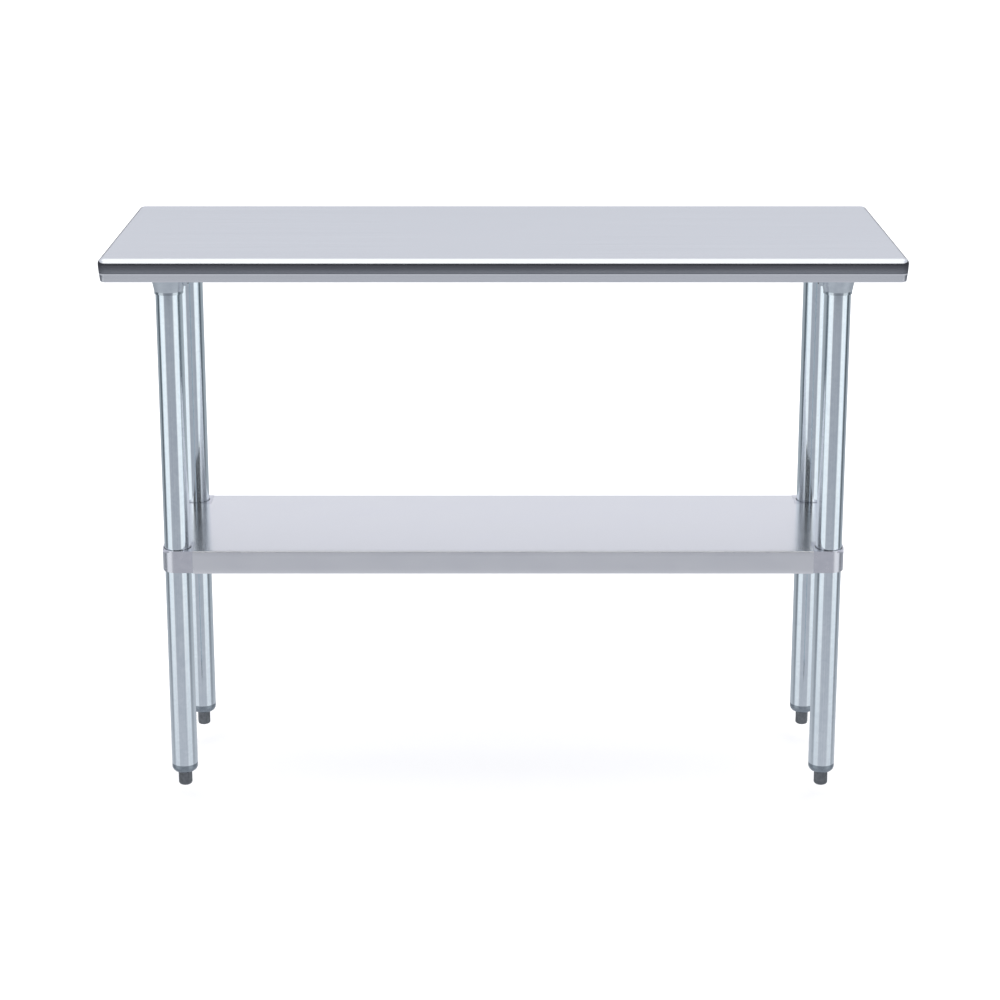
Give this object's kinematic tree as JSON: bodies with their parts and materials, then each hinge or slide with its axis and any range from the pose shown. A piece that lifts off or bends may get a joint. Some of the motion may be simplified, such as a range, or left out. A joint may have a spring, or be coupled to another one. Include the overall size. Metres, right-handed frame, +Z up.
{
  "type": "stainless work table",
  "caption": "Free-standing stainless work table with rolled edges, tubular legs on screw-adjusted bullet feet and an undershelf that slides on the legs.",
  "frame": {"origin": "on the floor under the middle of the table, with the feet screwed fully in", "axes": "+X to the right along the table's width, +Y from front to back, +Z up"},
  "size_m": [1.2192, 0.4572, 0.889],
  "materials": {
    "brushed_top": "fine straight-line grain, satin",
    "channel_steel": "galvanised, dull spangle",
    "socket_steel": "galvanised, welded",
    "fastener_zinc": "bright zinc plating",
    "black_screw": "black oxide",
    "leg_tube": "bright galvanised tube",
    "foot_shell": "zinc die casting, satin",
    "foot_stud": "turned, zinc plated",
    "foot_toe": "dark zinc, tumbled",
    "shelf_steel": "satin, cool grey",
    "collar_casting": "satin zinc casting"
  },
  "bodies": {
    "frame": {"top_sheet": "brushed_top", "long_channel": "channel_steel", "cross_channel_left": "channel_steel", "cross_channel_right": "channel_steel", "top_studs": "fastener_zinc", "channel_nuts": "fastener_zinc", "socket_screws": "black_screw", "leg_socket_front_left": "socket_steel", "leg_front_left": "leg_tube", "foot_shell_front_left": "foot_shell", "leg_socket_front_right": "socket_steel", "leg_front_right": "leg_tube", "foot_shell_front_right": "foot_shell", "leg_socket_rear_left": "socket_steel", "leg_rear_left": "leg_tube", "foot_shell_rear_left": "foot_shell", "leg_socket_rear_right": "socket_steel", "leg_rear_right": "leg_tube", "foot_shell_rear_right": "foot_shell"},
    "shelf": {"shelf_panel": "shelf_steel", "shelf_channel": "channel_steel", "collar_screws": "black_screw", "shelf_collar_front_left": "collar_casting", "shelf_collar_front_right": "collar_casting", "shelf_collar_rear_left": "collar_casting", "shelf_collar_rear_right": "collar_casting"},
    "stud_front_left": {"foot_stud_front_left": "foot_stud"},
    "toe_front_left": {"foot_toe_front_left": "foot_toe"},
    "stud_front_right": {"foot_stud_front_right": "foot_stud"},
    "toe_front_right": {"foot_toe_front_right": "foot_toe"},
    "stud_rear_left": {"foot_stud_rear_left": "foot_stud"},
    "toe_rear_left": {"foot_toe_rear_left": "foot_toe"},
    "stud_rear_right": {"foot_stud_rear_right": "foot_stud"},
    "toe_rear_right": {"foot_toe_rear_right": "foot_toe"}
  },
  "joints": [
    {"name": "shelf_height", "type": "slide", "parent": "frame", "child": "shelf", "axis": [0, 0, 1], "range_m": [-0.325, 0.405]},
    {"name": "foot_front_left_travel", "type": "slide", "parent": "frame", "child": "stud_front_left", "axis": [0, 0, -1], "range_m": [0, 0.0254]},
    {"name": "foot_front_left_turn", "type": "hinge", "parent": "stud_front_left", "child": "toe_front_left", "pos_m": [-0.5165, -0.1285, 0], "axis": [0, 0, -1], "range_deg": [-1, 4681]},
    {"name": "foot_front_right_travel", "type": "slide", "parent": "frame", "child": "stud_front_right", "axis": [0, 0, -1], "range_m": [0, 0.0254]},
    {"name": "foot_front_right_turn", "type": "hinge", "parent": "stud_front_right", "child": "toe_front_right", "pos_m": [0.5165, -0.1285, 0], "axis": [0, 0, -1], "range_deg": [-1, 4681]},
    {"name": "foot_rear_left_travel", "type": "slide", "parent": "frame", "child": "stud_rear_left", "axis": [0, 0, -1], "range_m": [0, 0.0254]},
    {"name": "foot_rear_left_turn", "type": "hinge", "parent": "stud_rear_left", "child": "toe_rear_left", "pos_m": [-0.5165, 0.1285, 0], "axis": [0, 0, -1], "range_deg": [-1, 4681]},
    {"name": "foot_rear_right_travel", "type": "slide", "parent": "frame", "child": "stud_rear_right", "axis": [0, 0, -1], "range_m": [0, 0.0254]},
    {"name": "foot_rear_right_turn", "type": "hinge", "parent": "stud_rear_right", "child": "toe_rear_right", "pos_m": [0.5165, 0.1285, 0], "axis": [0, 0, -1], "range_deg": [-1, 4681]}
  ],
  "couplings": [
    {"joint": "foot_front_left_turn", "follows": "foot_front_left_travel", "rad_per_m": 3215.6},
    {"joint": "foot_front_right_turn", "follows": "foot_front_right_travel", "rad_per_m": 3215.6},
    {"joint": "foot_rear_left_turn", "follows": "foot_rear_left_travel", "rad_per_m": 3215.6},
    {"joint": "foot_rear_right_turn", "follows": "foot_rear_right_travel", "rad_per_m": 3215.6}
  ]
}
